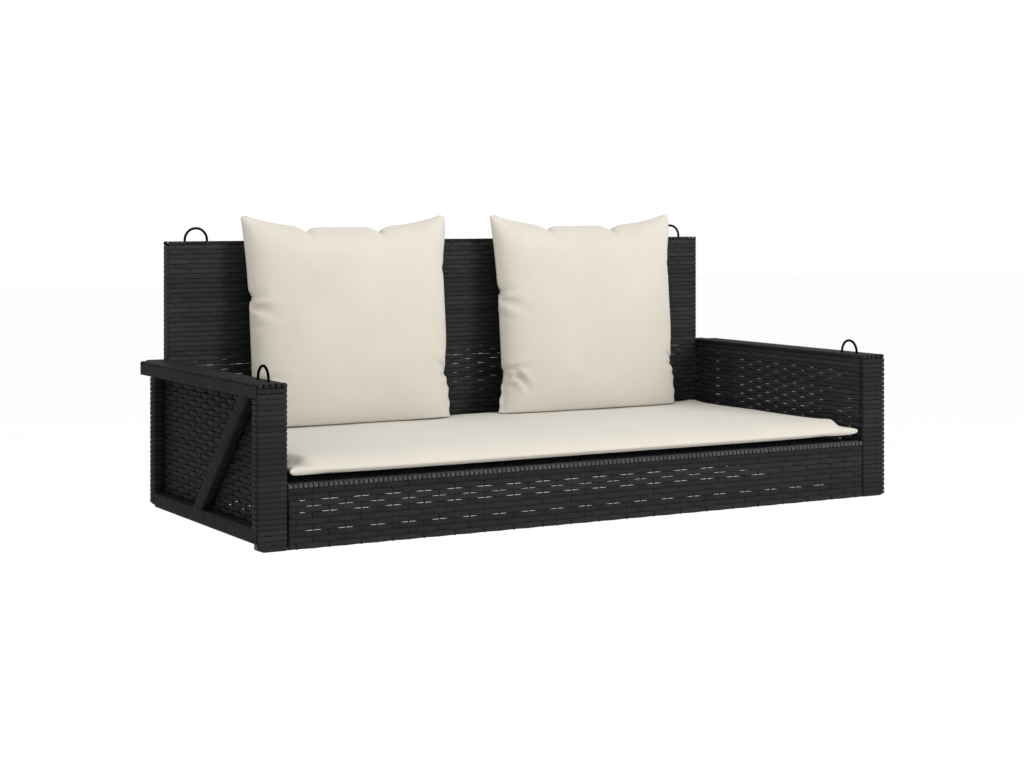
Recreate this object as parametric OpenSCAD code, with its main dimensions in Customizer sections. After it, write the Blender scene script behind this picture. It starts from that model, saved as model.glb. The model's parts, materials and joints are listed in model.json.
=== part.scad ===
// Two-seat hanging porch swing: steel tube frame, flat-strand wicker, loose cushions.
// Millimetres. X runs along the bench, +Y to the back, +Z up.
// The origin is on the ground plane, under the middle of the whole bench.

/* [Overall size] */
// Width over both arms
swing_w = 1390; // [1200:10:1600]
// Depth from the front face to the rear face of the back
swing_d = 620; // [600:5:660]
// Height of the arms above the lowest point of the frame
arm_h = 290; // [260:5:320]
// Height of the back panel
back_h = 525; // [480:5:600]
// Height of the woven front apron
apron_h = 114; // [110:1:130]
// Height of the woven seat deck
deck_h = 112; // [108:1:114]

/* [Wicker and steel] */
// Thickness of one woven layer, the stakes under the strands included
wrap_t = 3.5; // [3:0.25:4]
// Depth of the steel tube in the arms and the seat
tube_t = 20; // [18:1:22]
// Width of the tube in an arm's main frame
inner_tube_w = 30; // [25:1:35]
// Width of the tube in an arm's outer trim frame
outer_tube_w = 15; // [12:1:16]
// Square tube in the back panel
back_tube = 25; // [22:1:28]
// Wall thickness of every tube
wall = 1.2; // [1:0.1:1.6]

/* [Arms] */
// How far the outer woven panel lies behind the trim frame
recess_d = 20; // [20:1:24]
// Rear face of the trim frame's rear post, from the front
trim_post_end = 540; // [500:5:555]
// Rear end of the trim frame's top rail, from the front
trim_rail_end = 595; // [570:5:596]
// Underside of the bottom rail
rail_z = 13; // [8:1:20]
// Width of the wrapped diagonal brace
brace_w = 30; // [26:1:34]
// Where the brace's centre line meets the front plane, above the ground
brace_reach = 328.5; // [310:0.5:340]

/* [Hanging hoops] */
// Diameter of the hoop's steel rod
hoop_rod = 5; // [4:0.5:6]
// Distance between the centres of a hoop's legs
hoop_span = 47; // [40:1:56]
// Straight part of each leg above the wicker
hoop_leg = 2.5; // [1:0.5:6]
// Middle of the arm hoops, from the front
arm_hoop_y = 66; // [50:1:90]
// Middle of the back hoops, from the middle of the bench
back_hoop_x = 575; // [400:5:600]

/* [Cushions] */
// Height of the seat pad's crown above the deck
pad_t = 42; // [30:1:60]
// Width of a back pillow
pillow_w = 455; // [400:5:480]
// Height of a back pillow
pillow_h = 420; // [380:5:440]
// Thickness of a back pillow
pillow_t = 108; // [80:2:116]
// How far a pillow leans back, in degrees
pillow_lean = 5.6; // [3:0.1:8]
// Middle of the left pillow
left_pillow_x = -280; // [-340:5:-240]
// Middle of the right pillow
right_pillow_x = 290; // [240:5:340]

/* [Hidden] */

// Colours
wicker = [0.16, 0.17, 0.18];
steel = [0.10, 0.10, 0.11];
zinc = [0.70, 0.71, 0.72];
cream = [0.88, 0.86, 0.80];

// Arm section, measured inwards from the outer face
arm_w = recess_d + inner_tube_w + 2 * wrap_t;
inner_tube_x = recess_d + wrap_t;
outer_tube_x = wrap_t;
rail_h = tube_t + 2 * wrap_t;
top_rail_z = arm_h - rail_h;
trim_post_y = trim_post_end - rail_h;
hoop_x = inner_tube_x + inner_tube_w / 2;
leg_hole_d = hoop_rod + 0.6;

// Bench between the arms
half_w = swing_w / 2;
bench_half = half_w - arm_w;
front = -swing_d / 2;
back_d = back_tube + 2 * wrap_t;
back_y = swing_d - back_d;
seat_rear_y = back_y - wrap_t - tube_t;
rear_post_y = back_y - rail_h;
tube_half = bench_half - wrap_t;
deck_tube_z = deck_h - wrap_t - tube_t;
deck_tube_mid = deck_tube_z + tube_t / 2;
lower_tube_z = rail_z + wrap_t;
mid_rail_z = deck_tube_mid - back_tube / 2;
apron_rail_z = [wrap_t, 39.5, apron_h - wrap_t - tube_t];
cross_tube_x = [-305, 0, 305];
back_upright_x = [-tube_half + back_tube / 2, -215, 215, tube_half - back_tube / 2];

// M6 fasteners
bolt_r = 3;
bolt_hole_r = 3.3;
bolt_l = 40;
head_r = 5;
head_h = 4;
flat_head_h = 2.3;
socket_r = 2.3;
socket_d = 1.6;
washer_r = 6;
washer_t = 1.2;
nut_r = 4.5;
nut_bore_r = 3.05;
nut_l = 10;
side_bolt_y = [140, 400];
rear_bolt_x = [-470, -140, 140, 470];
end_bolt_y = swing_d - back_d / 2;
end_bolt_z = arm_h - rail_h / 2;
end_bolt_l = arm_w - recess_d + wrap_t + wall + nut_l;

// Clearance between a cushion and what it rests on
rest_gap = 0.3;
pad_inset_x = 8;
pad_inset_y = 5;
pad_seam_z = deck_h + 19;
pad_seam_t = 5;
pad_d = back_y - 2 * pad_inset_y + 2;
pad_under_inset = 35;
pad_crown_inset = 43;
pad_corner_r = 12;
pad_crown_r = 20;
pad_top = deck_h + pad_t;
pillow_z = pad_top + 2 * rest_gap;
pillow_seam_t = 6;
pillow_face = 0.66;
pillow_corner_r = 16;
pillow_face_r = 60;

// A cut between two solids that share a face, and how far a drilled hole runs past one
eps = 0.01;
cut = 1;

// ---- Shared shapes ----

// Box from its low corner to its high corner
module span(lo, hi) translate(lo) cube(hi - lo);

// Hollow tube between two corners, open along axis 0, 1 or 2
module tube(lo, hi, axis) {
    skin = [for (i = [0:2]) i == axis ? -eps : wall];
    difference() {
        span(lo, hi);
        span(lo + skin, hi - skin);
    }
}

// Places a shape made for the left arm: x from its outer face, y from the front
module at_arm(side) {
    mirror([side > 0 ? 1 : 0, 0, 0])
        translate([-half_w, front, 0])
            children();
}

// Places a shape whose y is measured from the front
module at_front() translate([0, front, 0]) children();

// ---- Arms ----

// An arm holds two tube frames. Each row is a frame's low x, its tube width, its rear post's
// front face and its top rail's rear end.
MAIN = [inner_tube_x, inner_tube_w, rear_post_y, swing_d];
TRIM = [outer_tube_x, outer_tube_w, trim_post_y, trim_rail_end];

// Post of an arm frame, whose wicker starts at y and stands from z up to the top rail
module post_tube(frame, y, z, solid = false) {
    lo = [frame[0], y + wrap_t, z + wrap_t];
    hi = [frame[0] + frame[1], y + wrap_t + tube_t, top_rail_z + wrap_t];
    if (solid) span(lo, hi);
    else tube(lo, hi, 2);
}

module top_rail_tube(frame, solid = false) {
    lo = [frame[0], wrap_t, top_rail_z + wrap_t];
    hi = [frame[0] + frame[1], frame[3] - wrap_t, arm_h - wrap_t];
    if (solid) span(lo, hi);
    else tube(lo, hi, 1);
}

module bottom_rail_tube(frame, solid = false) {
    lo = [frame[0], wrap_t + tube_t, lower_tube_z];
    hi = [frame[0] + frame[1], frame[2] + wrap_t, lower_tube_z + tube_t];
    if (solid) span(lo, hi);
    else tube(lo, hi, 1);
}

// 45 degree bar of the given width in the arm's outline, between two heights
module brace_bar(width, low_z, high_z) {
    reach = width / sqrt(2);
    polygon([
        [brace_reach - low_z - reach, low_z],
        [brace_reach - low_z + reach, low_z],
        [brace_reach - high_z + reach, high_z],
        [brace_reach - high_z - reach, high_z]
    ]);
}

// Sets an outline drawn in y and z upright, from x and w thick
module upright_plate(x, w) translate([x, 0, 0]) rotate([90, 0, 90]) linear_extrude(w) children();

module brace_tube_bar(inset) {
    upright_plate(outer_tube_x + inset, outer_tube_w - 2 * inset)
        brace_bar(brace_w - 2 * wrap_t - 2 * inset, lower_tube_z + tube_t, top_rail_z + wrap_t);
}

// All the space that an arm's steel takes, cut out of its wicker
module arm_steel_space() {
    for (frame = [MAIN, TRIM]) {
        post_tube(frame, 0, 0, true);
        post_tube(frame, frame[2], rail_z, true);
        top_rail_tube(frame, true);
        bottom_rail_tube(frame, true);
    }
    brace_tube_bar(0);
}

// Bores through an arm for the bolts into the seat and the back
module arm_bolt_holes() {
    for (y = side_bolt_y)
        translate([arm_w - wrap_t - wall - cut, y, lower_tube_z + tube_t / 2])
            rotate([0, 90, 0]) cylinder(r = bolt_hole_r, h = wrap_t + wall + 2 * cut, $fn = 32);
    translate([recess_d - cut, end_bolt_y, end_bolt_z])
        rotate([0, 90, 0]) cylinder(r = bolt_hole_r, h = arm_w - recess_d + 2 * cut, $fn = 32);
}

module front_post_wrap(side) {
    color(wicker) at_arm(side) difference() {
        span([0, 0, 0], [arm_w, rail_h, top_rail_z]);
        arm_steel_space();
    }
}

module rear_post_wrap(side) {
    color(wicker) at_arm(side) difference() {
        span([recess_d, rear_post_y, rail_z], [arm_w, back_y, top_rail_z]);
        arm_steel_space();
    }
}

module trim_post_wrap(side) {
    color(wicker) at_arm(side) difference() {
        span([0, trim_post_y, rail_z], [recess_d, trim_post_end, top_rail_z]);
        arm_steel_space();
    }
}

module top_rail_wrap(side) {
    color(wicker) at_arm(side) difference() {
        union() {
            span([0, 0, top_rail_z], [recess_d, trim_rail_end, arm_h]);
            span([recess_d, 0, top_rail_z], [arm_w, swing_d, arm_h]);
        }
        arm_steel_space();
        arm_bolt_holes();
        // Seat of the flat bolt head and its washer
        translate([recess_d - cut, end_bolt_y, end_bolt_z])
            rotate([0, 90, 0]) cylinder(r = washer_r + 0.5, h = wrap_t + cut, $fn = 32);
        // Room for the hoop's legs
        for (leg = [-1, 1])
            translate([hoop_x, arm_hoop_y + leg * hoop_span / 2, arm_h - wrap_t])
                cylinder(d = leg_hole_d, h = wrap_t + cut, $fn = 32);
    }
}

module bottom_rail_wrap(side) {
    color(wicker) at_arm(side) difference() {
        union() {
            span([0, rail_h, rail_z], [recess_d, trim_post_y, rail_z + rail_h]);
            span([recess_d, rail_h, rail_z], [arm_w, rear_post_y, rail_z + rail_h]);
        }
        arm_steel_space();
        arm_bolt_holes();
    }
}

module brace_wrap(side) {
    color(wicker) at_arm(side) difference() {
        upright_plate(0, recess_d) brace_bar(brace_w, rail_z + rail_h, top_rail_z);
        brace_tube_bar(0);
    }
}

module outer_weave(side) {
    color(wicker) at_arm(side)
        span([recess_d, rail_h, rail_z + rail_h], [inner_tube_x, rear_post_y, top_rail_z]);
}

module inner_weave(side) {
    color(wicker) at_arm(side)
        span([arm_w - wrap_t, rail_h, rail_z + rail_h], [arm_w, rear_post_y, top_rail_z]);
}

module arm_posts(side, frame) {
    color(steel) at_arm(side) {
        post_tube(frame, 0, 0);
        post_tube(frame, frame[2], rail_z);
    }
}

module arm_rails(side, frame) {
    color(steel) at_arm(side) difference() {
        union() {
            top_rail_tube(frame);
            bottom_rail_tube(frame);
        }
        arm_bolt_holes();
    }
}

module brace_tube(side) {
    color(steel) at_arm(side) difference() {
        brace_tube_bar(0);
        brace_tube_bar(wall);
    }
}

// ---- Hanging hoops ----

// Half ring on two legs, welded to the tube under the wicker, spanning along x
module hoop(surface_z) {
    bend_z = surface_z + hoop_leg;
    for (leg = [-1, 1])
        translate([leg * hoop_span / 2, 0, surface_z - wrap_t])
            cylinder(d = hoop_rod, h = wrap_t + hoop_leg, $fn = 32);
    translate([0, 0, bend_z])
        rotate([90, 0, 0])
            rotate_extrude(angle = 180, $fn = 64)
                translate([hoop_span / 2, 0]) circle(d = hoop_rod, $fn = 24);
}

module arm_hoop(side) {
    color(steel) at_arm(side)
        translate([hoop_x, arm_hoop_y, 0]) rotate([0, 0, 90]) hoop(arm_h);
}

module back_hoop(side) {
    color(steel) at_front() translate([side * back_hoop_x, swing_d - back_d / 2, 0]) hoop(back_h);
}

// ---- Seat ----

module apron_rail_tube(z) tube([-tube_half, wrap_t, z], [tube_half, wrap_t + tube_t, z + tube_t], 0);

// Side, lower and cross tubes of the seat, as solid bars
module seat_tube_space() {
    for (side = [-1, 1]) {
        seat_side_tube(side, true);
        seat_lower_tube(side, true);
    }
    for (x = cross_tube_x) seat_cross_tube(x, true);
}

module seat_side_tube(side, solid = false) {
    x = side < 0 ? -tube_half : tube_half - tube_t;
    lo = [x, wrap_t + tube_t, deck_tube_z];
    hi = [x + tube_t, seat_rear_y, deck_tube_z + tube_t];
    if (solid) span(lo, hi);
    else tube(lo, hi, 1);
}

module seat_lower_tube(side, solid = false) {
    x = side < 0 ? -bench_half : bench_half - tube_t;
    lo = [x, wrap_t + tube_t, lower_tube_z];
    hi = [x + tube_t, seat_rear_y + tube_t, lower_tube_z + tube_t];
    if (solid) span(lo, hi);
    else tube(lo, hi, 1);
}

module seat_cross_tube(x, solid = false) {
    lo = [x - tube_t / 2, wrap_t + tube_t, deck_tube_z];
    hi = [x + tube_t / 2, seat_rear_y, deck_tube_z + tube_t];
    if (solid) span(lo, hi);
    else tube(lo, hi, 1);
}

// Bores from the seat's rear tube into the back panel
module rear_bolt_holes(y, length) {
    for (x = rear_bolt_x)
        translate([x, y - cut, deck_tube_mid])
            rotate([-90, 0, 0]) cylinder(r = bolt_hole_r, h = length + 2 * cut, $fn = 32);
}

module apron_weave() {
    color(wicker) at_front() difference() {
        span([-bench_half, 0, 0], [bench_half, rail_h, apron_h]);
        span([-tube_half, wrap_t, wrap_t], [tube_half, wrap_t + tube_t, apron_h - wrap_t]);
        seat_tube_space();
    }
}

module apron_rails() {
    color(steel) at_front()
        for (z = apron_rail_z) apron_rail_tube(z);
}

// Short uprights between the apron's rails, at both ends
module apron_uprights() {
    color(steel) at_front()
        for (side = [-1, 1], i = [0, 1]) {
            x = side * (tube_half - tube_t / 2);
            tube([x - tube_t / 2, wrap_t, apron_rail_z[i] + tube_t],
                 [x + tube_t / 2, wrap_t + tube_t, apron_rail_z[i + 1]], 2);
        }
}

module seat_deck_weave() {
    color(wicker) at_front()
        span([-bench_half + rail_h, rail_h, deck_h - wrap_t],
             [bench_half - rail_h, seat_rear_y - wrap_t, deck_h]);
}

module seat_side_wraps() {
    color(wicker) at_front()
        for (side = [-1, 1])
            difference() {
                x = side < 0 ? -bench_half : bench_half - rail_h;
                span([x, rail_h, deck_tube_z - wrap_t], [x + rail_h, seat_rear_y - wrap_t, deck_h]);
                seat_side_tube(side, true);
            }
}

module seat_rear_wrap() {
    y = seat_rear_y - wrap_t;
    color(wicker) at_front() difference() {
        span([-bench_half, y, deck_tube_z - wrap_t], [bench_half, back_y, deck_h]);
        span([-tube_half, seat_rear_y, deck_tube_z], [tube_half, seat_rear_y + tube_t, deck_h - wrap_t]);
        seat_tube_space();
        rear_bolt_holes(y, rail_h);
        for (side = [-1, 1]) seat_corner_post(side, true);
    }
}

module seat_side_tubes() {
    color(steel) at_front()
        for (side = [-1, 1]) seat_side_tube(side);
}

module seat_lower_tubes() {
    color(steel) at_front() difference() {
        for (side = [-1, 1]) seat_lower_tube(side);
        for (side = [-1, 1], y = side_bolt_y)
            translate([side * (bench_half - tube_t / 2), y, lower_tube_z + tube_t / 2])
                rotate([0, 90, 0])
                    cylinder(r = bolt_hole_r, h = tube_t + 2 * cut, center = true, $fn = 32);
    }
}

module seat_rear_tube() {
    color(steel) at_front() difference() {
        tube([-tube_half, seat_rear_y, deck_tube_z],
             [tube_half, seat_rear_y + tube_t, deck_tube_z + tube_t], 0);
        rear_bolt_holes(seat_rear_y, tube_t);
    }
}

module seat_corner_post(side, solid = false) {
    x = side < 0 ? -tube_half : tube_half - tube_t;
    lo = [x, seat_rear_y, lower_tube_z + tube_t];
    hi = [x + tube_t, seat_rear_y + tube_t, deck_tube_z];
    if (solid) span(lo, hi);
    else tube(lo, hi, 2);
}

module seat_corner_posts() {
    color(steel) at_front()
        for (side = [-1, 1]) seat_corner_post(side);
}

module seat_cross_tubes() {
    color(steel) at_front()
        for (x = cross_tube_x) seat_cross_tube(x);
}

// ---- Back panel ----

// Woven sheet of the back, from y, with its bolt holes when it faces the seat
module back_sheet(y, bored) {
    color(wicker) at_front() difference() {
        span([-bench_half, y, wrap_t], [bench_half, y + wrap_t, back_h - wrap_t]);
        if (bored) rear_bolt_holes(y, wrap_t);
    }
}

// Strip that closes the panel's top or bottom edge, with holes where hoop legs pass through it
module back_edge_wrap(z, legs) {
    color(wicker) at_front() difference() {
        span([-bench_half, back_y, z], [bench_half, swing_d, z + wrap_t]);
        if (legs)
            for (side = [-1, 1], leg = [-1, 1])
                translate([side * back_hoop_x + leg * hoop_span / 2, swing_d - back_d / 2, z - cut])
                    cylinder(d = leg_hole_d, h = wrap_t + 2 * cut, $fn = 32);
    }
}

module back_side_wraps() {
    color(wicker) at_front()
        for (side = [-1, 1])
            difference() {
                x = side < 0 ? -bench_half : tube_half;
                span([x, back_y + wrap_t, wrap_t], [x + wrap_t, swing_d - wrap_t, back_h - wrap_t]);
                translate([x - cut, end_bolt_y, end_bolt_z])
                    rotate([0, 90, 0]) cylinder(r = bolt_hole_r, h = wrap_t + 2 * cut, $fn = 32);
            }
}

module back_rail(z) {
    color(steel) at_front()
        tube([-tube_half, back_y + wrap_t, z], [tube_half, swing_d - wrap_t, z + back_tube], 0);
}

module back_mid_rails() {
    color(steel) at_front() difference() {
        for (i = [0:len(back_upright_x) - 2])
            tube([back_upright_x[i] + back_tube / 2, back_y + wrap_t, mid_rail_z],
                 [back_upright_x[i + 1] - back_tube / 2, swing_d - wrap_t, mid_rail_z + back_tube], 0);
        rear_bolt_holes(back_y + wrap_t, wall);
    }
}

module back_uprights() {
    color(steel) at_front() difference() {
        for (x = back_upright_x)
            tube([x - back_tube / 2, back_y + wrap_t, wrap_t + back_tube],
                 [x + back_tube / 2, swing_d - wrap_t, back_h - wrap_t - back_tube], 2);
        for (side = [-1, 1])
            translate([side * (tube_half - wall / 2), end_bolt_y, end_bolt_z])
                rotate([0, 90, 0])
                    cylinder(r = bolt_hole_r, h = wall + 2 * cut, center = true, $fn = 32);
    }
}

// ---- Fasteners ----

// Socket-head bolt along +x; the origin is under its head
module bolt(length, height) {
    rotate([0, 90, 0]) difference() {
        union() {
            translate([0, 0, -height]) cylinder(r = head_r, h = height, $fn = 32);
            cylinder(r = bolt_r, h = length, $fn = 32);
        }
        translate([0, 0, -height - cut]) cylinder(r = socket_r, h = socket_d + cut, $fn = 6);
    }
}

module washer() {
    rotate([0, 90, 0]) difference() {
        cylinder(r = washer_r, h = washer_t, $fn = 32);
        translate([0, 0, -cut]) cylinder(r = bolt_hole_r, h = washer_t + 2 * cut, $fn = 32);
    }
}

module rivet_nut() {
    rotate([0, 90, 0]) difference() {
        cylinder(r = nut_r, h = nut_l, $fn = 32);
        translate([0, 0, -cut]) cylinder(r = nut_bore_r, h = nut_l + 2 * cut, $fn = 32);
    }
}

// Puts children at every seat-to-arm bolt, x pointing into the arm from the lower tube's face
module at_side_bolts(x) {
    for (side = [-1, 1], y = side_bolt_y)
        mirror([side < 0 ? 1 : 0, 0, 0])
            translate([bench_half - tube_t + x, y, lower_tube_z + tube_t / 2]) children();
}

// Puts children at every seat-to-back bolt, x pointing backwards from the rear wrap's face
module at_rear_bolts(y) {
    for (x = rear_bolt_x)
        translate([x, seat_rear_y - wrap_t + y, deck_tube_mid]) rotate([0, 0, 90]) children();
}

// Puts children at both arm-to-back bolts, x pointing inwards from the main frame's outer face
module at_end_bolts(x) {
    for (side = [-1, 1])
        mirror([side > 0 ? 1 : 0, 0, 0])
            translate([-half_w + recess_d + x, end_bolt_y, end_bolt_z]) children();
}

module frame_bolts() {
    color(zinc) at_front() {
        at_side_bolts(-washer_t) bolt(bolt_l, head_h);
        at_rear_bolts(-washer_t) bolt(bolt_l, head_h);
    }
}

module arm_end_bolts() {
    color(zinc) at_front() at_end_bolts(flat_head_h) bolt(end_bolt_l, flat_head_h);
}

module bolt_washers() {
    color(zinc) at_front() {
        at_side_bolts(-washer_t) washer();
        at_rear_bolts(-washer_t) washer();
        at_end_bolts(wrap_t - washer_t) washer();
    }
}

module rivet_nuts() {
    color(zinc) at_front() {
        at_side_bolts(tube_t + wrap_t + wall) rivet_nut();
        at_rear_bolts(rail_h + wrap_t + wall) rivet_nut();
        at_end_bolts(arm_w - recess_d + wrap_t + wall) rivet_nut();
    }
}

// ---- Cushions ----

// Thin slab with rounded corners, centred in x
module slab(w, d, t, r) {
    linear_extrude(t)
        translate([-w / 2 + r, r])
            offset(r, $fn = 32) square([w - 2 * r, d - 2 * r]);
}

// Knife-edge pad: a flat underside, a seam all round and a low crown
module seat_cushion() {
    w = 2 * (bench_half - pad_inset_x);
    color(cream) at_front() translate([0, pad_inset_y, 0]) hull() {
        translate([0, pad_under_inset, deck_h + rest_gap])
            slab(w - 2 * pad_under_inset, pad_d - 2 * pad_under_inset, 1, pad_corner_r);
        translate([0, 0, pad_seam_z]) slab(w, pad_d, pad_seam_t, pad_corner_r);
        translate([0, pad_crown_inset, pad_top - 1])
            slab(w - 2 * pad_crown_inset, pad_d - 2 * pad_crown_inset, 1, pad_crown_r);
    }
}

// Knife-edge pillow that leans on the back panel: a full outline at the seam, smaller faces
module back_pillow(x) {
    face_w = pillow_w * pillow_face;
    face_h = pillow_h * pillow_face;
    half_t = pillow_t / 2;
    // The rear face's top corner is the point nearest the back panel
    high = (pillow_h + face_h) / 2;
    seam_y = back_y - 2 * rest_gap - high * sin(pillow_lean) - half_t * cos(pillow_lean);
    color(cream) at_front() translate([x, seam_y, pillow_z + pillow_seam_t * sin(pillow_lean)])
        rotate([90 - pillow_lean, 0, 0]) hull() {
            translate([0, 0, -pillow_seam_t / 2]) slab(pillow_w, pillow_h, pillow_seam_t, pillow_corner_r);
            translate([0, (pillow_h - face_h) / 2, -half_t]) slab(face_w, face_h, pillow_t, pillow_face_r);
        }
}

// ---- Nodes ----

front_post_wrap(-1);  // left_front_post_wrap
rear_post_wrap(-1);  // left_rear_post_wrap
trim_post_wrap(-1);  // left_trim_post_wrap
top_rail_wrap(-1);  // left_top_rail_wrap
bottom_rail_wrap(-1);  // left_bottom_rail_wrap
brace_wrap(-1);  // left_brace_wrap
outer_weave(-1);  // left_outer_weave
inner_weave(-1);  // left_inner_weave
arm_posts(-1, MAIN);  // left_inner_posts
arm_rails(-1, MAIN);  // left_inner_rails
arm_posts(-1, TRIM);  // left_outer_posts
arm_rails(-1, TRIM);  // left_outer_rails
brace_tube(-1);  // left_brace_tube
front_post_wrap(1);  // right_front_post_wrap
rear_post_wrap(1);  // right_rear_post_wrap
trim_post_wrap(1);  // right_trim_post_wrap
top_rail_wrap(1);  // right_top_rail_wrap
bottom_rail_wrap(1);  // right_bottom_rail_wrap
brace_wrap(1);  // right_brace_wrap
outer_weave(1);  // right_outer_weave
inner_weave(1);  // right_inner_weave
arm_posts(1, MAIN);  // right_inner_posts
arm_rails(1, MAIN);  // right_inner_rails
arm_posts(1, TRIM);  // right_outer_posts
arm_rails(1, TRIM);  // right_outer_rails
brace_tube(1);  // right_brace_tube
arm_hoop(-1);  // front_left_hoop
arm_hoop(1);  // front_right_hoop
back_hoop(-1);  // rear_left_hoop
back_hoop(1);  // rear_right_hoop
apron_weave();
apron_rails();
apron_uprights();
seat_deck_weave();
seat_side_wraps();
seat_rear_wrap();
seat_side_tubes();
seat_lower_tubes();
seat_rear_tube();
seat_corner_posts();
seat_cross_tubes();
back_sheet(back_y, true);  // back_front_weave
back_sheet(swing_d - wrap_t, false);  // back_rear_weave
back_edge_wrap(back_h - wrap_t, true);  // back_top_wrap
back_edge_wrap(0, false);  // back_bottom_wrap
back_side_wraps();
back_rail(back_h - wrap_t - back_tube);  // back_top_tube
back_rail(wrap_t);  // back_bottom_tube
back_mid_rails();
back_uprights();
frame_bolts();
arm_end_bolts();
bolt_washers();
rivet_nuts();
seat_cushion();
back_pillow(left_pillow_x);  // left_back_pillow
back_pillow(right_pillow_x);  // right_back_pillow
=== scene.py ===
"""A two-seat hanging porch swing: real wicker strands over the steel frame, and sewn cushions."""
import json
import math
import random

import bpy
import numpy as np
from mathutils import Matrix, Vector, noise


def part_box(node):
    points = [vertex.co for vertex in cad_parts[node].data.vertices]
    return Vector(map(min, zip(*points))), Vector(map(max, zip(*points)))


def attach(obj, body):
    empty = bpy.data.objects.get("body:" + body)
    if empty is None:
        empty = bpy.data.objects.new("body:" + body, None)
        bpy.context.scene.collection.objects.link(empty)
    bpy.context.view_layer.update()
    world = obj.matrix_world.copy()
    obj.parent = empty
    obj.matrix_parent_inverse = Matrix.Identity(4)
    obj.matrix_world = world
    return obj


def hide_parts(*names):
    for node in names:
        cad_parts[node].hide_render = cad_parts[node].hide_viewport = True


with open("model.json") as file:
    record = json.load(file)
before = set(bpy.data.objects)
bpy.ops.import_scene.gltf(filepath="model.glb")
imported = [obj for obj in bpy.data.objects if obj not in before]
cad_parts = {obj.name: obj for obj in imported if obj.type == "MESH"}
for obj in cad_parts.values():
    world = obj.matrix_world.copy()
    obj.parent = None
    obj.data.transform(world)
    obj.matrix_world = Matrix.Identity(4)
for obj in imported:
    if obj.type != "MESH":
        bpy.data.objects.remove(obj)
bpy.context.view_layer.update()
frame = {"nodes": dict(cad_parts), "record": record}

# ---- Sizes, in metres ----

MM = 0.001
STRAND_T = 1.1 * MM  # thickness of a flat strand
STAKE_W = 3.2 * MM  # width of the upright stakes that the strands weave round
STAKE_T = 1.0 * MM  # their thickness
STAKE_GAP = 31 * MM  # distance between stakes
SHEET_T = 3.5 * MM  # thickness of a woven sheet
RAIL_PITCH = 8.2 * MM  # one turn of the wrapping on rails and braces
ARM_ROW = 263 / 28 * MM  # one row of the arms' weave and of the posts' wrapping
APRON_ROW = 10.8 * MM  # one row of the apron's and the deck's weave
BACK_ROW = 9.7 * MM  # one row of the back's weave
EDGE_PITCH = 9.7 * MM  # one turn of the wrapping on the apron, on the back's edges and round the seat
END_PITCH = 11 * MM  # distance between the strands over the arm rails' ends
EDGE_LIP = 6.5 * MM  # how far turns over a top edge come down before they tuck in behind the first row
STAKE_PINCH = 0.0125  # the share of its width that a woven strand loses where it crosses a stake
CORNER_R = 2.6 * MM  # radius of a strand's bend round a tube's corner
EDGE_R = 1.2 * MM  # the same at the arms' outer front and top edges, which are sharper
TUCK_R = 0.7 * MM  # the same where a strand's end tucks in
TUCK = 4 * MM  # how far a tucked end runs on behind the rest
TRIM_RAIL = 595 * MM  # length of the trim frame's top rail
OUTER_DROP = 6.9 * MM  # how far the outer sheet's rows lie below the inner sheet's
OUTER_COARSE = 1.0126  # one row of the outer sheet, in rows of the inner one
LIP = 1.6 * MM  # how far strands come round an outer corner before they tuck in
GROOVE = 2.4 * MM  # width of the dark groove behind such a lip
BACK_DROP = 2.45 * MM  # how far the back's rear rows lie below its front rows
INSIDE_R = 4 * MM  # radius of the front post's inner corner
POST_STAKE = 0.42  # where across the front post its one stake stands
DECK_APART = -0.12 * MM  # how far apart the deck's upper and lower rows are; below 0 they overlap in height

# A strand's width as a share of its pitch
BAR_FILL = 0.94  # wound round bars
POST_FILL = 0.915  # the front posts' level rows
BACK_FILL = 0.983
APRON_FILL = 0.99
DECK_FILL = 1.0
ARM_FILL = 0.967  # the arms' sheets, which are looser
TURN_FILL = 0.8  # the turns over the apron's tubes
CAP_FILL = 0.86  # the turns over the back's top and bottom edges
END_FILL = 0.76  # the strands over the arm rails' ends
END_ROW_FILL = 0.985  # the level rows below those

# How far places and shades vary at random, either way
ROW_JITTER = 0.08 * MM
TURN_JITTER = 0.12 * MM
PRESS_JITTER = 0.08 * MM
POST_JITTER = 0.3 * MM
BACK_JITTER = 0.1 * MM
SHADE_JITTER = 0.16

# How light each piece's strands are: painted light and shade, tuned to the photo, where they stand in
# different light. Each piece's strands are made lighter or darker to stand in for the light and shade that
# the lamps don't give it
USUAL_TONE = 0.5
FRONT_POST_PAINTED_SHADE = 0.42
POST_PAINTED_SHADE = 0.3
BOTTOM_RAIL_PAINTED_SHADE = 0.3
BRACE_PAINTED_SHADE = 0.22
INNER_PAINTED_LIGHT = 0.95
OUTER_PAINTED_SHADE = 0.15
# The apron's top turns are far lighter than any other strand: a painted glint on each bend
APRON_PAINTED_SHADE, APRON_TOP_PAINTED_GLINT, APRON_FOOT_PAINTED_SHADE = 0.36, 1.45, 0.4
BACK_PAINTED_LIGHT = 0.78


# ---- Objects ----


def link(name, data):
    """Puts an object for this mesh, camera or light in the scene."""
    made = bpy.data.objects.new(name, data)
    bpy.context.collection.objects.link(made)
    return made


def smooth_piece(name, points, faces, attribute, values, slot):
    """A smooth mesh object that keeps three numbers per point for its slot's material."""
    mesh = bpy.data.meshes.new(name)
    mesh.from_pydata(points, [], faces)
    mesh.attributes.new(attribute, "FLOAT_VECTOR", "POINT")
    mesh.attributes[attribute].data.foreach_set("vector", values.ravel())
    mesh.polygons.foreach_set("use_smooth", [True] * len(mesh.polygons))
    mesh.materials.append(MATERIALS[slot])
    return link(name, mesh)


# ---- Strands ----

# Cross-section of a strand: (across, height), across from -1 to 1 and height from 0 to 1
STRAND_SECTION = np.array([(-1.0, 0.0), (-0.9, 0.58), (-0.62, 0.98), (0.62, 0.98), (0.9, 0.58), (1.0, 0.0)])


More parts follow.
